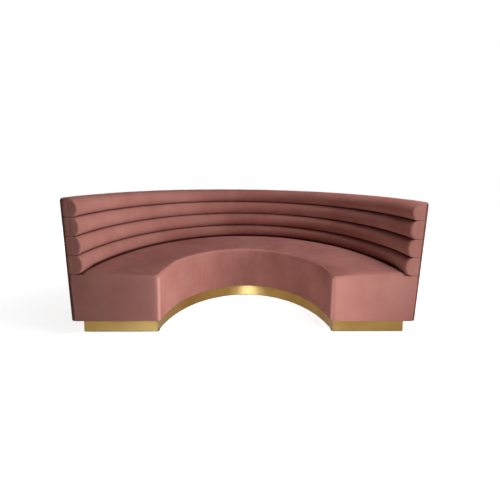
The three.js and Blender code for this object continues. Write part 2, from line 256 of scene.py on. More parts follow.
# %% Node helpers
def new_material(name):
    """A material with an empty node tree."""
    material = bpy.data.materials.new(name)
    material.use_nodes = True
    material.node_tree.nodes.clear()
    return material


def node(tree, kind, inputs=None, **settings):
    """Adds a node, sets its options and fills its inputs with values or links."""
    made = tree.nodes.new(kind)
    for key, value in settings.items():
        setattr(made, key, value)
    for key, value in (inputs or {}).items():
        if isinstance(value, bpy.types.NodeSocket):
            tree.links.new(value, made.inputs[key])
        else:
            made.inputs[key].default_value = value
    return made


def arc_coordinates(tree):
    """A vector of the way along the arc, the radius and the height."""
    place = node(tree, "ShaderNodeTexCoord").outputs["Object"]
    centred = node(tree, "ShaderNodeMapping", {"Vector": place, "Location": -arc_centre})
    split = node(tree, "ShaderNodeSeparateXYZ", {"Vector": centred.outputs[0]})
    x, y, z = split.outputs
    flat = node(tree, "ShaderNodeCombineXYZ", {"X": x, "Y": y})
    radius = node(tree, "ShaderNodeVectorMath", {0: flat.outputs[0]}, operation="LENGTH").outputs["Value"]
    angle = node(tree, "ShaderNodeMath", {0: x, 1: y}, operation="ARCTAN2").outputs[0]
    return node(tree, "ShaderNodeCombineXYZ", {"X": angle, "Y": radius, "Z": z}).outputs[0]


def noise(tree, vector, scale, stretch=(1, 1, 1), detail=2.0, roughness=0.5, distortion=0.0):
    """A noise pattern, finer along the axes that are stretched more."""
    mapped = node(tree, "ShaderNodeMapping", {"Vector": vector, "Scale": stretch})
    made = node(
        tree,
        "ShaderNodeTexNoise",
        {
            "Vector": mapped.outputs[0],
            "Scale": scale,
            "Detail": detail,
            "Roughness": roughness,
            "Distortion": distortion,
        },
    )
    return made.outputs["Fac"]


def spread(tree, value, low, high, to_low=0.0, to_high=1.0):
    """Maps a range of a value onto another range."""
    made = node(
        tree,
        "ShaderNodeMapRange",
        {"Value": value, "From Min": low, "From Max": high, "To Min": to_low, "To Max": to_high},
    )
    return made.outputs["Result"]


def math_node(tree, operation, first, second):
    """One sum of two values."""
    return node(tree, "ShaderNodeMath", {0: first, 1: second}, operation=operation).outputs[0]


def mix_colours(tree, factor, first, second):
    """A colour between two colours."""
    made = node(
        tree,
        "ShaderNodeMix",
        {"Factor": factor, "A": first, "B": second},
        data_type="RGBA",
    )
    return made.outputs["Result"]


def finish_material(tree, shader):
    """Links a shader to the material's output."""
    node(tree, "ShaderNodeOutputMaterial", {"Surface": shader.outputs[0]})


def principled(tree, inputs):
    """The shader that most finishes have, linked to the material's output."""
    finish_material(tree, node(tree, "ShaderNodeBsdfPrincipled", inputs))


# %% [markdown]
# ## Velvet
#
# Velvet is a short dense pile on a plain backing. The pile hides its own shadows, so the cloth is deep and
# saturated where you look into it, and pale where you look along it or where the light rakes it. A photograph
# of the cloth as a texture would slide over the rolls. Here the deep colour is the base, a sheen layer gives
# the pale bloom, and three noises give what hands leave on velvet: broad clouds where the pile lies
# differently, faint sweeps across the cloth, and the grain of the pile itself. On top of these, painted shade
# darkens the creases and the turned edges, and painted sheen and light pale the seat's front edge, inner
# corners and end faces.

# %% Velvet material
velvet_deep = (0.310, 0.112, 0.094, 1)
velvet_light = (0.410, 0.174, 0.144, 1)
# painted shade for creases and turned edges, and painted sheen for the seat's edges and corners
painted_shade_colour = (0.060, 0.012, 0.009, 1)
painted_sheen_colour = (0.560, 0.255, 0.218, 1)
sheen_colour = (1.0, 0.50, 0.40, 1)


def make_velvet(name):
    """Velvet, with painted shade in creases and on turned edges, and painted sheen and light on the seat's
    edges, corners and end faces.
    """
    material = new_material(name)
    tree = material.node_tree
    arc = arc_coordinates(tree)
    clouds = noise(tree, arc, 3.2, detail=3.0)
    sweeps = noise(tree, arc, 1.0, stretch=(16, 5, 3.5), detail=3.0, distortion=0.6)
    place = node(tree, "ShaderNodeTexCoord").outputs["Object"]
    pile = noise(tree, place, 900, detail=1.0)
    lie = math_node(
        tree, "ADD", spread(tree, clouds, 0.3, 0.7, 0, 0.75), spread(tree, sweeps, 0.3, 0.7, 0, 0.25)
    )
    tone = math_node(tree, "ADD", lie, spread(tree, pile, 0.3, 0.7, -0.08, 0.08))
    cloth = mix_colours(tree, tone, velvet_deep, velvet_light)
    # painted shade darkens creases and turned edges, and painted sheen pales the seat's edges, corners and
    # end faces
    painted_shade = node(tree, "ShaderNodeAttribute", attribute_name="painted_shade").outputs["Fac"]
    edge = node(tree, "ShaderNodeAttribute", attribute_name="edge").outputs["Fac"]
    with_painted_sheen = mix_colours(tree, edge, cloth, painted_sheen_colour)
    colour = mix_colours(tree, spread(tree, painted_shade, 0.55, 1.0), with_painted_sheen, painted_shade_colour)
    nap = math_node(
        tree, "ADD", math_node(tree, "MULTIPLY", clouds, 0.85), math_node(tree, "MULTIPLY", sweeps, 0.15)
    )
    coarse = node(tree, "ShaderNodeBump", {"Strength": 0.35, "Distance": 0.01, "Height": nap})
    fine = node(
        tree,
        "ShaderNodeBump",
        {"Strength": 0.25, "Distance": 0.0004, "Height": pile, "Normal": coarse.outputs[0]},
    )
    principled(
        tree,
        {
            "Base Color": colour,
            "Roughness": spread(tree, lie, 0, 1, 0.92, 0.78),
            "Specular IOR Level": 0.02,
            "Sheen Weight": 0.10,
            "Sheen Roughness": 0.45,
            "Sheen Tint": sheen_colour,
            "Normal": fine.outputs[0],
        },
    )
    return material


velvet = make_velvet("dusty_rose_velvet")
print("velvet made")

# %% [markdown]
# ## The four rolls of the back
#
# Each roll is a foam strip of D section in its own velvet sleeve, with its flat back on the curved board
# and a D-shaped patch sewn into each end. The rolls touch above and below, so their rounded fronts leave
# a groove between them. A torus cut in half would be quick, but its section would be a circle. Here half
# of a disc is stretched to the roll's proportions and joined to its straight sides, then spun round.

# %% Roll sizes
roll_count = 4
roll_reach = 0.125  # from the outside of the back to a roll's front
groove_depth = 0.047
top_depth = 0.078  # the top roll is rounder above its middle
roll_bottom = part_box("roll_cover_1")[0].z
roll_pitch = (total_height - roll_bottom) / roll_count
roll_end_radius = 0.012
roll_steps = 200
roll_segments = 28
roll_edge_length = 0.022  # longest edge of a roll's section
roll_end_segments = 4
roll_ring_shares = (0.88, 0.82, 0.75, 0.60)  # the rings of faces inside an end
roll_sharp_turn = math.radians(50)
swelling_room = 0.003  # what the pressed covers gain at their fronts
seam_share = 0.12  # how much of its rounding an end keeps where two rolls meet
end_freedom = 0.15  # how freely the patch in an end moves
end_shade_share = 0.30  # how much of the painted crease shade shows at an end
roll_front_radius = hem_radius - roll_reach
roll_back_radius = back_inner_radius - fit_gap
roll_joint_radius = roll_front_radius + groove_depth
press_reach = 0.016
press_overlap = 0.003
press_radius = roll_front_radius + press_reach  # where the seat's top meets the lowest roll
gathered_stations = (3, 10)  # the stations over which the press grows from an end
print("roll pitch", round(roll_pitch, 4), "bottom", round(roll_bottom, 4))


def roll_section(bm, middle):
    """Half a disc, stretched, with a straight part behind it."""
    place = Matrix.Translation(section_point(roll_joint_radius, middle))
    upright = Matrix.Rotation(math.pi / 2, 4, "X")
    size = Matrix.Diagonal((groove_depth - swelling_room, (roll_pitch - fit_gap) / 2, 1, 1))
    bmesh.ops.create_circle(
        bm, cap_ends=True, segments=roll_segments, radius=1, matrix=place @ upright @ size
    )
    half = bmesh.ops.bisect_plane(
        bm,
        geom=[*bm.verts, *bm.edges, *bm.faces],
        dist=1e-6,
        plane_co=section_point(roll_joint_radius, middle),
        plane_no=(-1, 0, 0),
        clear_outer=True,
    )
    chord = [piece for piece in half["geom_cut"] if isinstance(piece, bmesh.types.BMEdge)]
    straight = bmesh.ops.extrude_edge_only(bm, edges=chord)["geom"]
    corners = [piece for piece in straight if isinstance(piece, bmesh.types.BMVert)]
    bmesh.ops.translate(bm, verts=corners, vec=(roll_joint_radius - roll_back_radius, 0, 0))
    bmesh.ops.dissolve_faces(bm, faces=bm.faces)


def deepen_top(bm, middle):
    """Draws the upper front of a section out to the rear, so that its top falls away sooner."""
    for vert in bm.verts:
        behind = -vert.co.x - roll_front_radius
        if vert.co.z > middle + fit_gap and behind < groove_depth + fit_gap:
            vert.co.x = -roll_front_radius - behind * top_depth / groove_depth


def roll_openness(number, middle, radius, height, behind=roll_joint_radius):
    """One on a roll's free front, falling to nothing at a radius behind it."""
    if number == roll_count and height > middle:
        return 1
    return min(max((behind - radius) / (behind - roll_front_radius), 0), 1)


def roll_freedom(number, middle, radius, height, from_end):
    """The same, but away from its ends the lowest roll is free only down to where the seat meets it."""
    if number > 1 or height > middle:
        return roll_openness(number, middle, radius, height)
    first, last = gathered_stations
    pressed = min(max((from_end - first) / (last - first), 0), 1)
    behind = roll_joint_radius + (press_radius - press_overlap - roll_joint_radius) * pressed
    return roll_openness(number, middle, radius, height, behind)


def roll_shape(number, middle):
    """Draws a roll's end in towards the middle of its back, and leans it."""
    depth = roll_back_radius - roll_front_radius

    def shape(radius, height, inset):
        drawn = roll_back_radius - (roll_back_radius - radius) * (1 - inset / depth)
        free = max(roll_openness(number, middle, radius, height), seam_share)
        settled = middle + (height - middle) * (1 - free * inset / (roll_pitch / 2))
        return drawn + lean_at(settled), settled

    return shape


def roll_underside(radius):
    """The underside of the lowest roll, from the middle of its front down to where it is flat."""
    ahead = min(max((roll_joint_radius - radius) / groove_depth, 0), 1)
    return roll_bottom + roll_pitch / 2 * (1 - math.sqrt(1 - ahead**2))


def ring_ends(bm, steps, shares):
    """Rings of faces inside both end faces, each a share of the size of the one round it."""
    for end in (0, steps):
        caps = [face for face in bm.faces if all(station_of(vert, steps) == end for vert in face.verts)]
        for share in shares:
            bmesh.ops.inset_individual(bm, faces=caps, thickness=0, depth=0)
            for cap in caps:
                centred = Matrix.Translation(-cap.calc_center_bounds())
                bmesh.ops.scale(bm, vec=(share, share, share), space=centred, verts=cap.verts)


# %% Marks for the cloth, and painted shade for the velvet
def mark(bm, name, measure):
    """Writes a number on every vertex, for a material or a modifier to read."""
    layer = bm.verts.layers.float.new(name)
    for vert in bm.verts:
        vert[layer] = measure(vert)


def flat_place(vert):
    """A vertex's radius and height before its piece is settled."""
    return math.hypot(vert.co.x, vert.co.y - arc_centre.y), vert.co.z


def mark_freedom_and_shade(bm, steps, openness):
    """Marks what may move, and how much painted shade each point gets where a cover lies deep in a crease."""

    def place_of(vert):
        station = station_of(vert, steps)
        at_end = station in (0, steps)
        inside = at_end and all(
            station_of(corner, steps) in (0, steps) for face in vert.link_faces for corner in face.verts
        )
        return at_end, inside, openness(*flat_place(vert), min(station, steps - station))

    def free(vert):
        _, inside, open_share = place_of(vert)
        return end_freedom if inside else open_share

    # painted shade: dark where a cover lies deep in a crease, weaker at the ends of the rolls
    def painted_shade(vert):
        at_end, inside, open_share = place_of(vert)
        return 0 if inside else (1 - open_share) * (end_shade_share if at_end else 1)

    mark(bm, "free", free)
    mark(bm, "painted_shade", painted_shade)


def keep_sharp(bm, turn):
    """Keeps the edges that turn sharply sharp when the piece is subdivided."""
    layer = bm.edges.layers.float.new("crease_edge")
    bm.normal_update()
    for edge in bm.edges:
        if edge.is_manifold and edge.calc_face_angle() > turn:
            edge[layer] = 1.0


# %% Rolls
rolls = []
for number in range(1, roll_count + 1):
    middle = roll_bottom + roll_pitch * (number - 1 / 2)
    bm = bmesh.new()
    roll_section(bm, middle)
    if number == roll_count:
        deepen_top(bm, middle)
    divide_long_edges(bm, roll_edge_length)
    spin_section(bm, roll_steps)
    ring_ends(bm, roll_steps, roll_ring_shares)
    # painted shade in the grooves between the rolls
    mark_freedom_and_shade(bm, roll_steps, lambda *place: roll_freedom(number, middle, *place))
    settle(bm, roll_steps, rounded_end(roll_end_radius, roll_end_segments), roll_shape(number, middle))
    bmesh.ops.recalc_face_normals(bm, faces=bm.faces)
    keep_sharp(bm, roll_sharp_turn)
    nodes = (f"roll_cover_{number}", f"roll_foam_{number}")
    roll = add_piece(bm, f"back_roll_{number}", velvet, nodes)
    rolls.append(roll)

# %% [markdown]
# ## The seat
#
# The seat is a foam slab on a wooden deck, with thin padding over the curved front and the flat ends, and
# one velvet cover over all of it. Its front edge is soft, its ends have tighter edges, its top is a little
# crowned, and the lowest roll presses it down at the back. The cover is turned under the base. A block
# with a bevel would have the same softness everywhere, so the section is shaped first and the ends are
# rounded by themselves.

# %% Seat sizes
seat_edge_radius = 0.026
seat_edge_segments = 8
seat_corner_radius = 0.030
seat_corner_segments = 6
seat_end_edge_radius = 0.012
seat_crown = 0.004
corner_dip = 0.014  # how far the inner corners of the top give way
corner_reach = (0.24, 0.34)  # how far the dip reaches along the arc and back over the seat
seat_room = 0.003  # what the pressed cover gains on top
press_gap = 0.0015
press_fade = 0.048
gathered_width = 0.060
gathered_share = 0.35  # how steeply the top falls at an end, where the cover is gathered
press_shares = (0, 0.20, 0.32, 0.40, 0.45, 0.50, 0.58, 0.70, 0.85, 1)
tucked_width = 0.064
hem_return = 0.027
hem_edge_radius = 0.004
hem_edge_segments = 2
seat_steps = 120
seat_edge_length = 0.024  # longest edge of the seat's section
seat_ring_shares = (0.95, 0.92, 0.88, 0.82, 0.75, 0.60)
deck_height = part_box("seat_deck_centre")[1].z
tucked_radius = roll_front_radius + tucked_width
seat_swell = 0.006
wall_swell = 0.002
seat_middle_radius = (front_radius + seat_rear_radius) / 2
seat_half_width = seat_middle_radius - front_radius
facing_down = -0.9
print("seat depth", round(2 * seat_half_width, 3))


def seat_share(radius):
    """How far back on the seat a radius is, from nothing at its front to one."""
    return (radius - front_radius) / (seat_rear_radius - front_radius)


def seat_top(radius):
    """The seat's top: a low crown, pressed down where the lowest roll stands on it."""
    crown = seat_crown * ((radius - seat_middle_radius) / seat_half_width) ** 2
    at_roll = radius - (1 - seat_share(radius)) * lean_at(roll_bottom)
    return min(seat_height - seat_room - crown, roll_underside(at_roll) - press_gap)


def seat_openness(radius, height, from_end):
    """One on the seat's free faces, falling to nothing under the lowest roll."""
    if height < seat_height - fit_gap:
        return 1
    return min(max((press_radius - radius) / press_fade, 0), 1)


def end_fall(radius, inset):
    """How far the top has fallen at an end. The cover is pulled down most beside the roll."""
    depth = seat_corner_radius - math.sqrt(inset * (2 * seat_corner_radius - inset))
    left = max(seat_end_edge_radius - depth, 0)
    fall = seat_end_edge_radius - math.sqrt(seat_end_edge_radius**2 - left**2)
    gathered = max(1 - abs(radius - press_radius) / gathered_width, 0)
    return fall + gathered * gathered_share * inset


def seat_shape(radius, height, inset):
    """Shapes the seat's top, draws its ends in and follows the leaning back at the rear."""
    rise = max(height - deck_height, 0) / (seat_height - deck_height)
    free = min(max((tucked_radius - radius) / tucked_width, 0), 1)
    lowered = height - rise * (seat_height - seat_top(radius) + end_fall(radius, inset) * free)
    share = seat_share(radius)
    return radius + inset * (1 - share) + share * lean_at(lowered), lowered


def dip_corners(bm):
    """Lets the foam give way at the two inner corners of the top."""
    for vert in bm.verts:
        from_end = max(1 - (vert.co.y - arc_centre.y) / corner_reach[0], 0)
        radius = math.hypot(vert.co.x, vert.co.y - arc_centre.y)
        from_front = max(1 - (radius - front_radius) / corner_reach[1], 0)
        rise = max(vert.co.z - deck_height, 0) / (seat_height - deck_height)
        vert.co.z -= corner_dip * rise * from_end**2 * min(from_front, 1) ** 2


# the painted sheen on the seat's front edge and inner corners, and the painted light on its end faces
corner_sheen_station = 3  # the station in the middle of the rounded corner
corner_sheen_spread = 2.5  # how many stations away the painted sheen fades out
lip_sheen = 0.35
end_light_tone = 0.35
end_light_reach = 1.2


def painted_sheen_share(vert):
    """Painted sheen along the front edge's lip and down the inner corners, and painted light over each end
    face, strongest at the front.
    """
    station = station_of(vert, seat_steps)
    near = min(station, seat_steps - station)
    radius, height = flat_place(vert)
    at_corner = max(1 - abs(near - corner_sheen_station) / corner_sheen_spread, 0)
    corner = at_corner if radius < front_radius + fit_gap else 0
    in_front = radius < front_radius + seat_edge_radius / 2
    lip = lip_sheen if in_front and height > seat_height - seat_edge_radius / 2 else 0
    end_light = end_light_tone * (1 - seat_share(radius) * end_light_reach) if near == 0 else 0
    return max(corner, lip, end_light, 0)


# %% Seat
bm = bmesh.new()
press_radii = [roll_front_radius + groove_depth * share for share in press_shares]
section_face(
    bm,
    [
        (front_radius, hem_height),
        (front_radius, seat_height),
        *[(radius, seat_height) for radius in press_radii],
        (seat_rear_radius, seat_height),
        (seat_rear_radius, hem_height),
    ],
)
round_corner(bm, front_radius, seat_height, seat_edge_radius, seat_edge_segments)
round_corner(bm, front_radius, hem_height, hem_edge_radius, hem_edge_segments)
divide_long_edges(bm, seat_edge_length)
spin_section(bm, seat_steps)
ring_ends(bm, seat_steps, seat_ring_shares)
# painted shade on the seat's top under the lowest roll
mark_freedom_and_shade(bm, seat_steps, seat_openness)
# painted sheen on the seat's edges and corners, and painted light on its end faces
mark(bm, "edge", painted_sheen_share)
rear = [
    face for face in bm.faces if all(flat_place(vert)[0] > seat_rear_radius - fit_gap for vert in face.verts)
]
bmesh.ops.delete(bm, geom=rear, context="FACES")
settle(bm, seat_steps, rounded_end(seat_corner_radius, seat_corner_segments), seat_shape)
dip_corners(bm)
bm.normal_update()
underside = [face for face in bm.faces if face.normal.z < facing_down]
bmesh.ops.delete(bm, geom=underside, context="FACES")
rim = [
    edge
    for edge in bm.edges
    if edge.is_boundary and all(vert.co.z < hem_height + fit_gap for vert in edge.verts)
]
turned = bmesh.ops.extrude_edge_only(bm, edges=rim)["geom"]
for vert in turned:
    if isinstance(vert, bmesh.types.BMVert):
        depth = max(vert.co.y - arc_centre.y, hem_return)
        radius = max(math.hypot(vert.co.x, vert.co.y - arc_centre.y), front_radius + hem_return)
        across = math.copysign(math.sqrt(radius**2 - depth**2), vert.co.x)
        vert.co = arc_centre + Vector((across, depth, hem_height))
seat = add_piece(bm, "seat_upholstery", velvet, ("seat_cover", "seat_foam", "seat_padding"))

# %% [markdown]
# ## The outside back
#
# Behind the rolls a single face of velvet covers the curved board, over a thin wadding, and turns over its
# top, its ends and its hem. From in front only its narrow edge shows, dark because it faces away from the
# light, and painted shade darkens its turned edges further, most at the ends. It is a tray, so it starts as a
# full ring whose outer corners are rounded, and then loses the side that lies on the rolls.

# %% Outside back
back_corner_radius = 0.018
back_top_radius = 0.026
back_top_segments = 8
back_hem_radius = 0.008
back_hem_segments = 4
back_end_segments = 8
back_steps = 120
back_edge_length = 0.090  # longest edge of the back's section
end_edge_shade = 0.85  # how much painted shade the turned edges get at the ends
top_edge_shade = 0.70


def back_shape(radius, height, inset):
    """Draws the outside back in at its ends, and leans it."""
    middle = (hem_height + total_height) / 2
    drawn = back_inner_radius + (radius - back_inner_radius) * (1 - inset / back_stack)
    settled = middle + (height - middle) * (1 - inset / (total_height - middle))
    return drawn + lean_at(settled), settled


def back_edge_shade(vert):
    """Painted shade on the turned edges of the outside back, darker at the ends than along the top."""
    station = station_of(vert, back_steps)
    at_end = min(station, back_steps - station) <= back_end_segments
    at_top = vert.co.z > total_height - back_top_radius
    return end_edge_shade if at_end else top_edge_shade if at_top else 0


bm = bmesh.new()
section_face(
    bm,
    [
        (back_inner_radius, hem_height),
        (back_inner_radius, total_height),
        (hem_radius, total_height),
        (hem_radius, hem_height),
    ],
)
round_corner(bm, hem_radius, total_height, back_top_radius, back_top_segments)
round_corner(bm, hem_radius, hem_height, back_hem_radius, back_hem_segments)
divide_long_edges(bm, back_edge_length)
spin_section(bm, back_steps)
# painted shade on the turned edges
mark(bm, "painted_shade", back_edge_shade)
inner = [
    face for face in bm.faces if all(flat_place(vert)[0] < back_inner_radius + fit_gap for vert in face.verts)
]
bmesh.ops.delete(bm, geom=inner, context="FACES")
settle(bm, back_steps, rounded_end(back_corner_radius, back_end_segments), back_shape)
outside_back = add_piece(bm, "outside_back", velvet, ("outside_back_cover", "back_wadding"))

# %% [markdown]
# ## Pressing the covers out from inside
#
# A tight cover isn't a perfect arc: the foam presses it outwards, and it gives most in the middle between
# its seams. It could be modelled with a brush. Here a cloth simulation does it. Each cover is held where it
# is sewn or stapled, the pressure inside pushes the rest out for twenty frames with no gravity, and no
# point may move further than the foam would let it. A little unevenness in the stuffing comes first, so
# that the cloth settles over it. The rolls were drawn slightly too small, to leave room for this.

# %% Simulation of the covers
cloth_frames = 20
roll_swell = 0.005
roll_pressure = 3.0
seat_pressure = 3.0
stuffing_depth = 0.0012
stuffing_size = 0.14
cloth_quality = 6
held_falloff = 4  # a cover is fully loose from a quarter of its freedom up
move_falloff = 2


def uneven(piece, depth, size):
    """Moves the free points a little in and out, as hand-laid stuffing does."""
    free = piece.data.attributes["free"].data
    for vert, share in zip(piece.data.vertices, free):
        lump = noise_library.noise(vert.co / size)
        vert.co += vert.normal * lump * depth * share.value


def stretch_cover(piece, pressure):
    """Holds the sewn points of a cover and presses the others out."""
    held = piece.vertex_groups.new(name="held")
    for vert, share in zip(piece.data.vertices, piece.data.attributes["free"].data):
        held.add([vert.index], 1 - min(share.value * held_falloff, 1), "REPLACE")
    cloth = piece.modifiers.new("pressing", "CLOTH")
    cloth.settings.vertex_group_mass = held.name
    cloth.settings.quality = cloth_quality
    cloth.settings.use_pressure = True
    cloth.settings.uniform_pressure_force = pressure
    cloth.settings.effector_weights.gravity = 0
    cloth.collision_settings.use_collision = False


def pressed_places(piece):
    """Where the simulation has put the vertices of a piece."""
    shown = piece.evaluated_get(bpy.context.evaluated_depsgraph_get())
    mesh = shown.to_mesh()
    places = [vert.co.copy() for vert in mesh.vertices]
    shown.to_mesh_clear()
    return places


def apply_press(piece, places, furthest):
    """Keeps the pressed shape, with every move held under its limit."""
    longest = 0
    for vert, place, share in zip(piece.data.vertices, places, piece.data.attributes["free"].data):
        move = place - vert.co
        limit = furthest(vert) * min(share.value * move_falloff, 1)
        if move.length > limit:
            move = move.normalized() * limit
        longest = max(longest, move.length)
        vert.co += move
    piece.modifiers.remove(piece.modifiers["pressing"])
    print(piece.name, "pressed out by up to", round(longest * 1000, 1), "mm")


def seat_limit(vert):
    """The seat's top may rise further than its padded walls."""
    return wall_swell + (seat_swell - wall_swell) * max(vert.normal.z, 0)


# %% Press the covers
for piece in (*rolls, seat):
    uneven(piece, stuffing_depth, stuffing_size)
for roll in rolls:
    stretch_cover(roll, roll_pressure)
stretch_cover(seat, seat_pressure)
for frame_number in range(1, cloth_frames + 1):
    scene.frame_set(frame_number)
pressed = {piece: pressed_places(piece) for piece in (*rolls, seat)}
for roll in rolls:
    apply_press(roll, pressed[roll], lambda vert: roll_swell)
apply_press(seat, pressed[seat], seat_limit)
scene.frame_set(1)

# %% Walls of the seat and the outside back
padding_thickness = 0.0016
back_padding_thickness = 0.0068


def smooth_cover(piece):
    """One level of subdivision, the same on the screen and in the render."""
    finer = piece.modifiers.new("finer", "SUBSURF")
    finer.levels = finer.render_levels = 1
    finer.boundary_smooth = "PRESERVE_CORNERS"


def give_wall(piece, thickness):
    """Gives a cover its thickness, inwards from its face."""
    wall = piece.modifiers.new("wall", "SOLIDIFY")
    wall.thickness = thickness
    wall.offset = -1
    wall.use_even_offset = True
    return wall


for piece in (*rolls, seat):
    smooth_cover(piece)
give_wall(outside_back, back_padding_thickness)
give_wall(seat, padding_thickness)

# %% [markdown]
# ## Brass
#
# The plinth is clad in thin brass sheet with a long brushed grain. The maker bends one sheet round the
# inner curve, butts flat ones against the ends and bends two round the outer curve, where they meet in a
# seam. The grain runs along the sheet, so the bright streak spreads upwards and downwards. A texture of
# scratches could be painted, but a noise that is drawn out along the arc gives the same grain everywhere.

# %% Brass material
brass_colour = (0.278, 0.168, 0.050, 1)
brass_warm = (0.235, 0.130, 0.036, 1)


def make_brass(name, brushed):
    """Brushed brass. The brushed values stretch the grain along the sheet."""
    material = new_material(name)
    tree = material.node_tree
    arc = arc_coordinates(tree)
    grain = noise(tree, arc, 1.0, stretch=brushed, detail=3.0, roughness=0.7)
    clouds = noise(tree, arc, 5.0, detail=2.0)
    colour = mix_colours(tree, spread(tree, clouds, 0.3, 0.7), brass_colour, brass_warm)
    bump = node(tree, "ShaderNodeBump", {"Strength": 0.12, "Distance": 0.0003, "Height": grain})
    across = node(tree, "ShaderNodeTangent", direction_type="UV_MAP", uv_map="grain")
    principled(
        tree,
        {
            "Base Color": colour,
            "Metallic": 1.0,
            "Roughness": spread(tree, grain, 0.25, 0.75, 0.31, 0.39),
            "Anisotropic": 0.85,
            "Normal": bump.outputs[0],
            "Tangent": across.outputs[0],
        },
    )
    return material


def lay_grain(bm):
    """A UV map whose first axis runs across the brushing, because a streak spreads that way."""
    layer = bm.loops.layers.uv.new("grain")
    for face in bm.faces:
        for loop in face.loops:
            x, y = loop.vert.co.x, loop.vert.co.y - arc_centre.y
            loop[layer].uv = (loop.vert.co.z, math.atan2(x, y) * math.hypot(x, y))


brass = make_brass("brushed_brass", (6, 500, 1400))

# %% Brass sheets round the plinth
brass_thickness = 0.0012
brass_edge = 0.0003
cut_edge_turn = math.radians(40)
plinth_low, plinth_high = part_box("brass_back_right")
plinth_bottom = plinth_low.z
plinth_top = plinth_high.z
end_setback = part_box("brass_end_left")[0].y - cad_low.y
sheet_setback = end_setback + brass_thickness + fit_gap
plinth_front_inset = 0.036
plinth_back_inset = 0.058
plinth_front_radius = front_radius + plinth_front_inset
plinth_back_radius = hem_radius - plinth_back_inset
brass_steps = 180


def as_drawn(radius, height, inset):
    """The shape of a piece that stands upright and has square ends."""
    return radius, height


def bevel_sharp_edges(bm, size):
    """A narrow bevel on every edge that turns sharply, as on cut sheet."""
    bm.normal_update()
    edges = [edge for edge in bm.edges if edge.is_manifold and edge.calc_face_angle() > cut_edge_turn]
    bevel(bm, edges, size, 1, "EDGES")


def add_brass(bm, name, node_name):
    """Takes the sharpness off a brass sheet's edges, lays its grain and adds it."""
    bevel_sharp_edges(bm, brass_edge)
    lay_grain(bm)
    add_piece(bm, name, brass, (node_name,), math.radians(30))


def ring_sheet(near, far, bottom, top, steps, setback):
    """A sheet that follows the arc between two radii and two heights."""
    bm = bmesh.new()
    section_face(bm, [(near, bottom), (near, top), (far, top), (far, bottom)])
    spin_section(bm, steps)
    settle(bm, steps, [(setback, 0)], as_drawn)
    return bm


bm = ring_sheet(
    plinth_front_radius,
    plinth_front_radius + brass_thickness,
    plinth_bottom,
    plinth_top,
    brass_steps,
    sheet_setback,
)
add_brass(bm, "brass_inner_curve", "brass_front")

for side, sign in (("left", -1), ("right", 1)):
    bm = ring_sheet(
        plinth_back_radius - brass_thickness,
        plinth_back_radius,
        plinth_bottom,
        plinth_top,
        brass_steps,
        sheet_setback,
    )
    bmesh.ops.bisect_plane(
        bm,
        geom=[*bm.verts, *bm.edges, *bm.faces],
        plane_co=(sign * fit_gap / 2, 0, 0),
        plane_no=(-sign, 0, 0),
        clear_outer=True,
    )
    bmesh.ops.holes_fill(bm, edges=[edge for edge in bm.edges if edge.is_boundary])
    bmesh.ops.recalc_face_normals(bm, faces=bm.faces)
    add_brass(bm, f"brass_outer_curve_{side}", f"brass_back_{side}")

    bm = bmesh.new()
    inner_edge = math.sqrt(plinth_front_radius**2 - end_setback**2)
    outer_edge = math.sqrt(plinth_back_radius**2 - end_setback**2)
    size = Matrix.Diagonal((outer_edge - inner_edge, brass_thickness, plinth_top - plinth_bottom, 1))
    middle = arc_centre + Vector(
        (
            sign * (inner_edge + outer_edge) / 2,
            end_setback + brass_thickness / 2,
            (plinth_bottom + plinth_top) / 2,
        )
    )
    bmesh.ops.create_cube(bm, size=1, matrix=Matrix.Translation(middle) @ size)
    add_brass(bm, f"brass_end_sheet_{side}", f"brass_end_{side}")

# %% [markdown]
# ## What lies underneath
#
# Nobody sees the underside until the sofa is carried, but a buyer who turns it over finds a black cloth,
# stapled under the plinth, and nylon glides. The wood of the box is birch plywood. These pieces are flat or
# hidden, so most of them keep their own shape and only get a finish.

# %% Materials of the hidden pieces
def make_plywood(name):
    """Birch plywood: pale veneer with long grain and small dark flecks."""
    material = new_material(name)
    tree = material.node_tree
    arc = arc_coordinates(tree)
    grain = noise(tree, arc, 1.0, stretch=(4, 60, 60), detail=4.0, distortion=0.4)
    pores = noise(tree, arc, 1.0, stretch=(30, 900, 900), detail=1.0)
    veneer = mix_colours(tree, spread(tree, grain, 0.35, 0.65), (0.60, 0.42, 0.24, 1), (0.74, 0.56, 0.36, 1))
    speckled = mix_colours(tree, spread(tree, pores, 0.62, 0.75, 0, 0.5), veneer, (0.36, 0.22, 0.11, 1))
    bump = node(tree, "ShaderNodeBump", {"Strength": 0.2, "Distance": 0.0004, "Height": grain})
    principled(
        tree,
        {
            "Base Color": speckled,
            "Roughness": spread(tree, grain, 0.3, 0.7, 0.55, 0.7),
            "Normal": bump.outputs[0],
        },
    )
    return material


def make_steel(name):
    """Zinc-plated steel with faint spangles."""
    material = new_material(name)
    tree = material.node_tree
    place = node(tree, "ShaderNodeTexCoord").outputs["Object"]
    spangle = node(tree, "ShaderNodeTexVoronoi", {"Vector": place, "Scale": 120.0})
    tone = spread(tree, spangle.outputs["Distance"], 0, 1)
    colour = mix_colours(tree, tone, (0.48, 0.49, 0.50, 1), (0.62, 0.63, 0.64, 1))
    principled(
        tree,
        {"Base Color": colour, "Metallic": 1.0, "Roughness": spread(tree, tone, 0, 1, 0.3, 0.45)},
    )
    return material


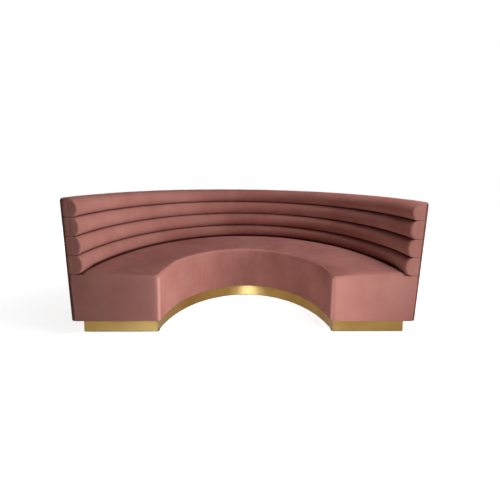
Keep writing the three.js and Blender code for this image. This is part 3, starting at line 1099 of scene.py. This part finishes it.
def make_nylon(name):
    """Moulded nylon with a fine spark-eroded grain."""
    material = new_material(name)
    tree = material.node_tree
    place = node(tree, "ShaderNodeTexCoord").outputs["Object"]
    grain = noise(tree, place, 1500, detail=1.0)
    colour = mix_colours(tree, grain, (0.016, 0.016, 0.018, 1), (0.030, 0.030, 0.033, 1))
    bump = node(tree, "ShaderNodeBump", {"Strength": 0.3, "Distance": 0.0001, "Height": grain})
    principled(
        tree,
        {
            "Base Color": colour,
            "Roughness": spread(tree, grain, 0.3, 0.7, 0.42, 0.55),
            "Normal": bump.outputs[0],
        },
    )
    return material


def make_black_cloth(name):
    """Non-woven cloth: pressed fibres with small bonded points."""
    material = new_material(name)
    tree = material.node_tree
    place = node(tree, "ShaderNodeTexCoord").outputs["Object"]
    points = node(tree, "ShaderNodeTexVoronoi", {"Vector": place, "Scale": 400.0, "Randomness": 0.15})
    fibres = noise(tree, place, 700, detail=3.0)
    dots = spread(tree, points.outputs["Distance"], 0.15, 0.35)
    colour = mix_colours(tree, fibres, (0.010, 0.010, 0.011, 1), (0.028, 0.028, 0.030, 1))
    height = math_node(tree, "ADD", dots, fibres)
    bump = node(tree, "ShaderNodeBump", {"Strength": 0.5, "Distance": 0.0004, "Height": height})
    principled(
        tree,
        {"Base Color": colour, "Roughness": spread(tree, dots, 0, 1, 0.8, 0.95), "Normal": bump.outputs[0]},
    )
    return material


hidden_finishes = {
    "plywood": make_plywood("birch_plywood"),
    "steel": make_steel("zinc_plated_steel"),
    "nylon": make_nylon("black_nylon"),
    "black_cloth": make_black_cloth("black_non_woven_cloth"),
}
print("finishes of the hidden pieces:", *hidden_finishes)

# %% Dust cover
dust_low, dust_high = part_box("dust_cover")
dust_inset = 0.008
dust_outer = plinth_back_radius - dust_inset
dust_inner = plinth_front_radius + dust_inset
bm = ring_sheet(
    dust_inner,
    dust_outer,
    dust_low.z,
    dust_high.z,
    brass_steps,
    end_setback + dust_inset,
)
dust_cover = add_piece(
    bm, "dust_cloth", hidden_finishes["black_cloth"], ("dust_cover",), math.radians(30)
)

# %% Finish the pieces that keep their own shape
kept_parts = [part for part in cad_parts.values() if not part.hide_render]
for part in kept_parts:
    for slot in part.material_slots:
        slot.material = hidden_finishes[slot.material.name]
print(len(kept_parts), "pieces of the frame keep their own shape")

# %% [markdown]
# ## Floor, light and background
#
# Furniture is photographed on a roll of white paper, which runs down behind the piece and on under it, so
# that no edge of the floor shows. A curved sheet could be built for it. Here a flat floor does, because the
# camera is given a white background, and the floor adds its own glow to what it reflects, more of it
# further away, so that it keeps the soft shadow and still fades to white.

# %% Floor
floor_size = 30.0
floor_colour = (0.70, 0.70, 0.70, 1)
white = (1, 1, 1, 1)
near_glow = 0.80
glow_starts = 1.5  # metres from the centre of the arc
glow_full = 3.5
bm = bmesh.new()
bmesh.ops.create_grid(bm, x_segments=1, y_segments=1, size=floor_size / 2)
floor_mesh = bpy.data.meshes.new("floor")
bm.to_mesh(floor_mesh)
bm.free()
floor = bpy.data.objects.new("floor", floor_mesh)
scene.collection.objects.link(floor)


def seen_directly(tree):
    """One where a ray comes straight from the camera, or by way of a mirror or a glass."""
    rays = node(tree, "ShaderNodeLightPath").outputs
    either = math_node(tree, "MAXIMUM", rays["Is Camera Ray"], rays["Is Glossy Ray"])
    return math_node(tree, "MAXIMUM", either, rays["Is Transmission Ray"])


def under_the_plinth(tree):
    """One on the floor that the plinth covers, where no white may shine through the gap."""
    split = node(tree, "ShaderNodeSeparateXYZ", {"Vector": arc_coordinates(tree)}).outputs
    place = node(tree, "ShaderNodeTexCoord").outputs["Object"]
    y = node(tree, "ShaderNodeSeparateXYZ", {"Vector": place}).outputs["Y"]
    beyond = math_node(tree, "GREATER_THAN", split["Y"], plinth_front_radius)
    within = math_node(tree, "LESS_THAN", split["Y"], plinth_back_radius)
    behind = math_node(tree, "GREATER_THAN", y, arc_centre.y + end_setback)
    return math_node(tree, "MULTIPLY", math_node(tree, "MULTIPLY", beyond, within), behind)


pale = new_material("pale_floor")
tree = pale.node_tree
matt = node(tree, "ShaderNodeBsdfDiffuse", {"Color": floor_colour})
away = node(tree, "ShaderNodeSeparateXYZ", {"Vector": arc_coordinates(tree)}).outputs["Y"]
glow = spread(tree, away, glow_starts, glow_full, near_glow, 1.0)
bare = math_node(tree, "SUBTRACT", 1.0, under_the_plinth(tree))
glow_strength = math_node(tree, "MULTIPLY", glow, bare)
glowing = node(tree, "ShaderNodeEmission", {"Color": white, "Strength": glow_strength})
both = node(tree, "ShaderNodeAddShader", {0: matt.outputs[0], 1: glowing.outputs[0]})
shown = node(tree, "ShaderNodeMixShader", {0: seen_directly(tree), 1: matt.outputs[0], 2: both.outputs[0]})
finish_material(tree, shown)
floor_mesh.materials.append(pale)
print("floor", floor_size, "m across")

# %% [markdown]
# ## The world
#
# The studio gives the velvet almost no light from all round, so the lamps below do the modelling. Metal
# shows the room it stands in, and a tall window in front of the sofa gives the brass its one bright streak.
# A lamp could stand there, but it would also light the velvet. Here the window is a strip of the world that
# only shows in reflections.

# %% World
soft_strength = 0.02
window_middle = -0.05
window_half_width = 0.22
window_rise = 0.25
window_strength = 60.0
window_colour = (0.94, 1.32, 1.90, 1)
world = bpy.data.worlds.new("studio")
world.use_nodes = True
tree = world.node_tree
tree.nodes.clear()
soft = node(tree, "ShaderNodeBackground", {"Color": white, "Strength": soft_strength})
direction = node(tree, "ShaderNodeTexCoord").outputs["Generated"]
x, y, z = node(tree, "ShaderNodeSeparateXYZ", {"Vector": direction}).outputs
aside = math_node(tree, "SUBTRACT", x, window_middle)
narrow = spread(tree, math_node(tree, "ABSOLUTE", aside, 0.0), window_half_width, 0.0)
in_front = math_node(tree, "LESS_THAN", y, 0.0)
above_floor = spread(tree, z, 0.0, window_rise)
window = math_node(tree, "MULTIPLY", math_node(tree, "MULTIPLY", narrow, in_front), above_floor)
reflected = node(tree, "ShaderNodeLightPath").outputs["Is Glossy Ray"]
bright = math_node(tree, "MULTIPLY", math_node(tree, "MULTIPLY", window, reflected), window_strength)
paper = node(tree, "ShaderNodeBackground", {"Color": white, "Strength": 1.0})
daylight = node(tree, "ShaderNodeBackground", {"Color": window_colour, "Strength": bright})
both = node(tree, "ShaderNodeAddShader", {0: paper.outputs[0], 1: daylight.outputs[0]})
shown = node(tree, "ShaderNodeMixShader", {0: seen_directly(tree), 1: soft.outputs[0], 2: both.outputs[0]})
node(tree, "ShaderNodeOutputWorld", {"Surface": shown.outputs[0]})
scene.world = world
scene.view_settings.view_transform = "Standard"
print("window", window_half_width, "to each side, strength", window_strength)

# %% [markdown]
# ## The lamps
#
# The light comes low from the right, so the left wall of the arc is bright and the right one lies in shade.
# Soft boxes above fill the seat, two small ones in the mouth of the arc fill its walls, and one behind
# lights the outside back. One large lamp would be quicker, but its shade would be black. Only the lamp
# behind is mirrored in the brass, because the others would each leave a streak of their own.

# %% Lamps
sofa_middle = (0, 0, 0.45)
cool = (1.0, 1.14, 1.16)  # the key side is daylight, a little cooler than the fill


def add_lamp(name, place, size, power, target=sofa_middle, mirrored=False, colour=(1, 1, 1)):
    """A square soft box at a place, aimed at a target. It is mirrored in the brass only if asked."""
    data = bpy.data.lights.new(name, "AREA")
    data.shape = "SQUARE"
    data.size = size
    data.energy = power
    data.color = colour
    lamp = bpy.data.objects.new(name, data)
    lamp.visible_glossy = mirrored
    scene.collection.objects.link(lamp)
    aim = Vector(target) - Vector(place)
    lamp.matrix_world = Matrix.Translation(place) @ aim.to_track_quat("-Z", "Y").to_matrix().to_4x4()
    return lamp


add_lamp("key", (5.0, -3.4, 0.7), 1.2, 150, colour=cool)
add_lamp("side", (7.0, -2.0, 1.0), 1.6, 134, colour=cool)
add_lamp("top", (1.6, -1.2, 3.0), 1.2, 47)
add_lamp("above", (1.2, 0.0, 3.0), 1.0, 16)
add_lamp("mouth", (0.15, -1.4, 0.17), 0.3, 4.4)
add_lamp("mouth_right", (0.7, -1.55, 0.25), 0.3, 2.4)
add_lamp("behind", (-2.5, 4.5, 1.0), 2.0, 140, target=(0, 0.3, 0.5), mirrored=True)
